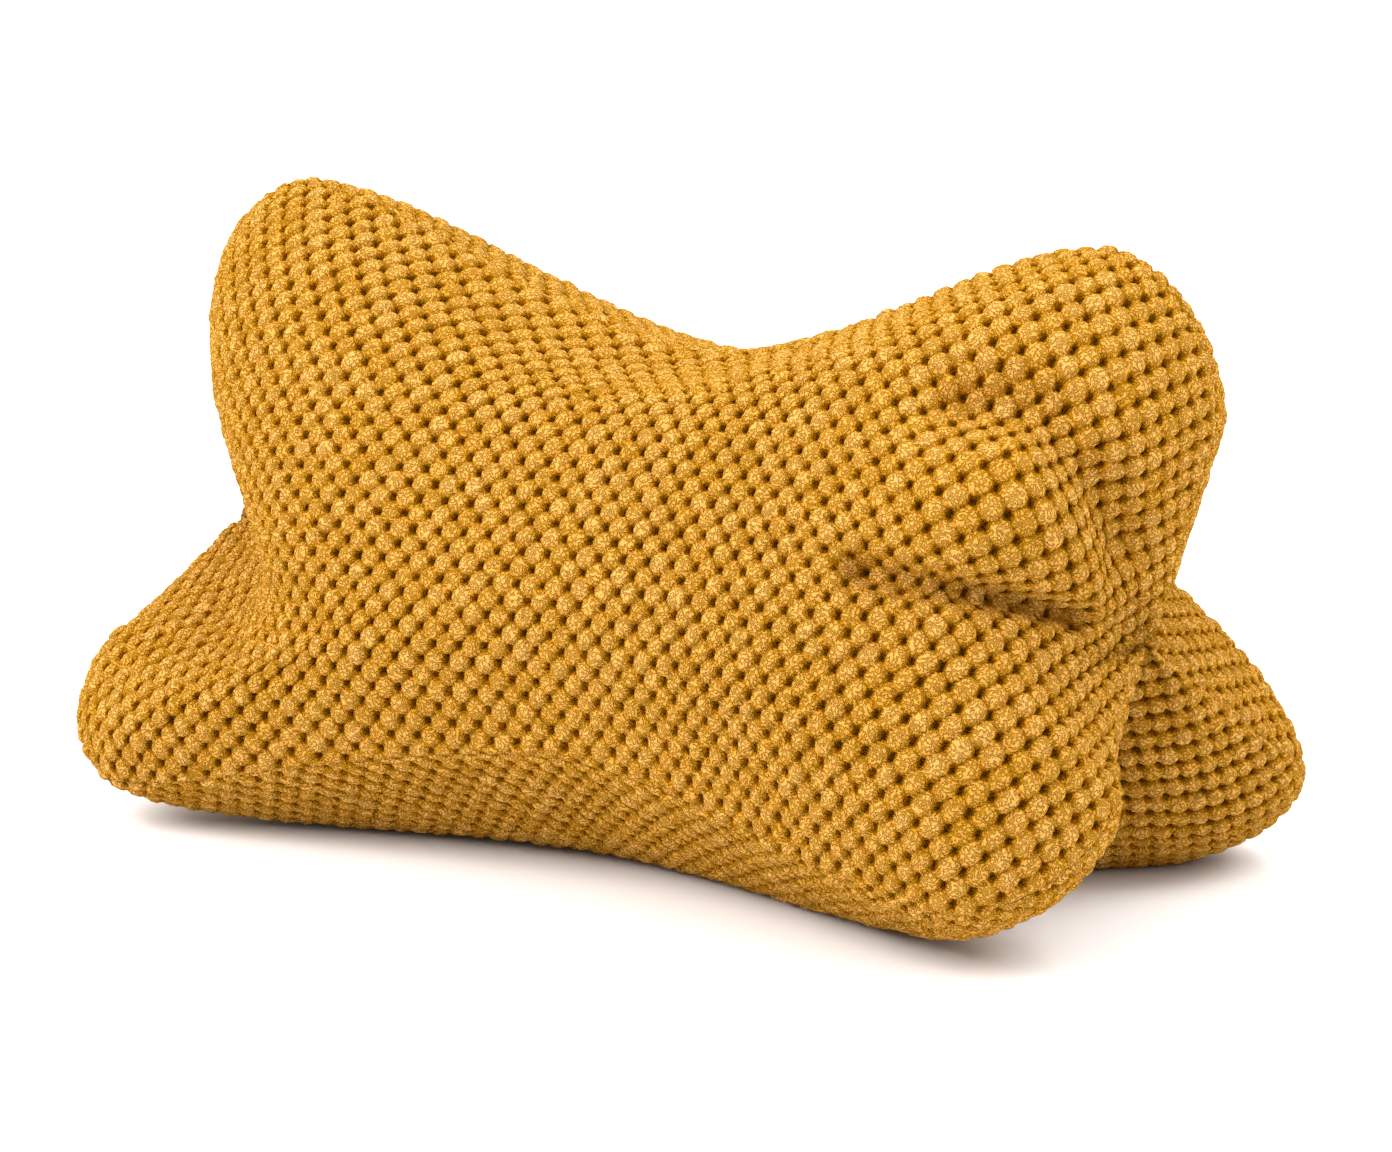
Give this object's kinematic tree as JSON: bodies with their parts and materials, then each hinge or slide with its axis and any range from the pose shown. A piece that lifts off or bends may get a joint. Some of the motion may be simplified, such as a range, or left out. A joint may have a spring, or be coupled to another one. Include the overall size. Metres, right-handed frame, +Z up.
{
  "type": "reading pillow",
  "caption": "Bone-shaped reading pillow in bobbled chenille, sewn from alike panels and stuffed. It lies on one panel and props a neck, book or tablet in the saddle between its top lobes.",
  "frame": {"origin": "on the floor, below the middle of the pillow's box", "axes": "+X along the pillow from the left end to the right end in the picture, +Z up, -Y towards the front panel that shows in the picture"},
  "size_m": [0.4682, 0.253, 0.257],
  "materials": {
    "chenille": "mustard bobble chenille, matte with a soft pile"
  },
  "bodies": {
    "root": {"pillow": "chenille"}
  },
  "joints": []
}
